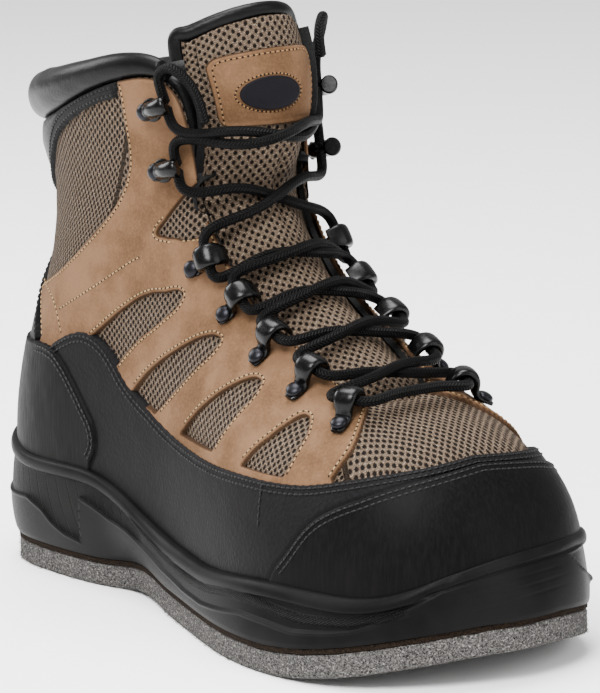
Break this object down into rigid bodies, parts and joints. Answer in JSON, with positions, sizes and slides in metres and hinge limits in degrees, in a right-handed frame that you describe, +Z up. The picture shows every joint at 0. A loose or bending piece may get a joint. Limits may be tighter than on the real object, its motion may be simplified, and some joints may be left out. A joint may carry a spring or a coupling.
{
  "type": "wading boot",
  "caption": "Ankle-high laced wading boot with mesh and nubuck upper, rubber rand and toe cap, rubber cup sole and a flat felt outsole, right foot.",
  "frame": {"origin": "on the ground under the middle of the heel, on the underside of the felt", "axes": "+X toward the toe, +Y toward the inner side of the foot, +Z up"},
  "size_m": [0.3315, 0.1369, 0.2488],
  "materials": {
    "felt": "matt dense felt",
    "felt_board": "matt fibre board",
    "cup_rubber": "satin grained rubber",
    "upper_mesh": "woven mesh",
    "footbed": "matt foam cloth",
    "nubuck": "matt nubuck",
    "rand_rubber": "pebbled coated rubber",
    "cap_rubber": "scuffed coated leather",
    "collar_leather": "smooth soft leather",
    "trim_webbing": "woven tape",
    "hardware": "gloss black",
    "rivet": "dark steel",
    "lace": "round braid"
  },
  "bodies": {
    "root": {"felt_sole": "felt", "felt_board": "felt_board", "cup_sole": "cup_rubber", "upper": "upper_mesh", "insole": "footbed", "quarter_outer": "nubuck", "quarter_inner": "nubuck", "rand": "rand_rubber", "toe_cap": "cap_rubber", "heel_counter": "cap_rubber", "heel_strip": "cap_rubber", "collar_band": "trim_webbing", "collar_pad": "collar_leather", "collar_roll": "collar_leather", "tongue": "upper_mesh", "tongue_binding": "collar_leather", "tongue_patch": "nubuck", "tongue_badge": "collar_leather", "loop_1_outer": "hardware", "loop_2_outer": "hardware", "loop_3_outer": "hardware", "loop_4_outer": "hardware", "loop_5_outer": "hardware", "hook_1_outer": "hardware", "hook_2_outer": "hardware", "loop_1_inner": "hardware", "loop_2_inner": "hardware", "loop_3_inner": "hardware", "loop_4_inner": "hardware", "loop_5_inner": "hardware", "hook_1_inner": "hardware", "hook_2_inner": "hardware", "loop_1_outer_rivet": "rivet", "loop_2_outer_rivet": "rivet", "loop_3_outer_rivet": "rivet", "loop_4_outer_rivet": "rivet", "loop_5_outer_rivet": "rivet", "hook_1_outer_rivet": "rivet", "hook_2_outer_rivet": "rivet", "loop_1_inner_rivet": "rivet", "loop_2_inner_rivet": "rivet", "loop_3_inner_rivet": "rivet", "loop_4_inner_rivet": "rivet", "loop_5_inner_rivet": "rivet", "hook_1_inner_rivet": "rivet", "hook_2_inner_rivet": "rivet", "lace_bar": "lace", "lace_cross_1": "lace", "lace_cross_2": "lace", "lace_cross_3": "lace", "lace_cross_4": "lace", "lace_cross_5": "lace", "lace_cross_6": "lace", "lace_end_outer": "lace", "lace_end_inner": "lace"}
  },
  "joints": []
}
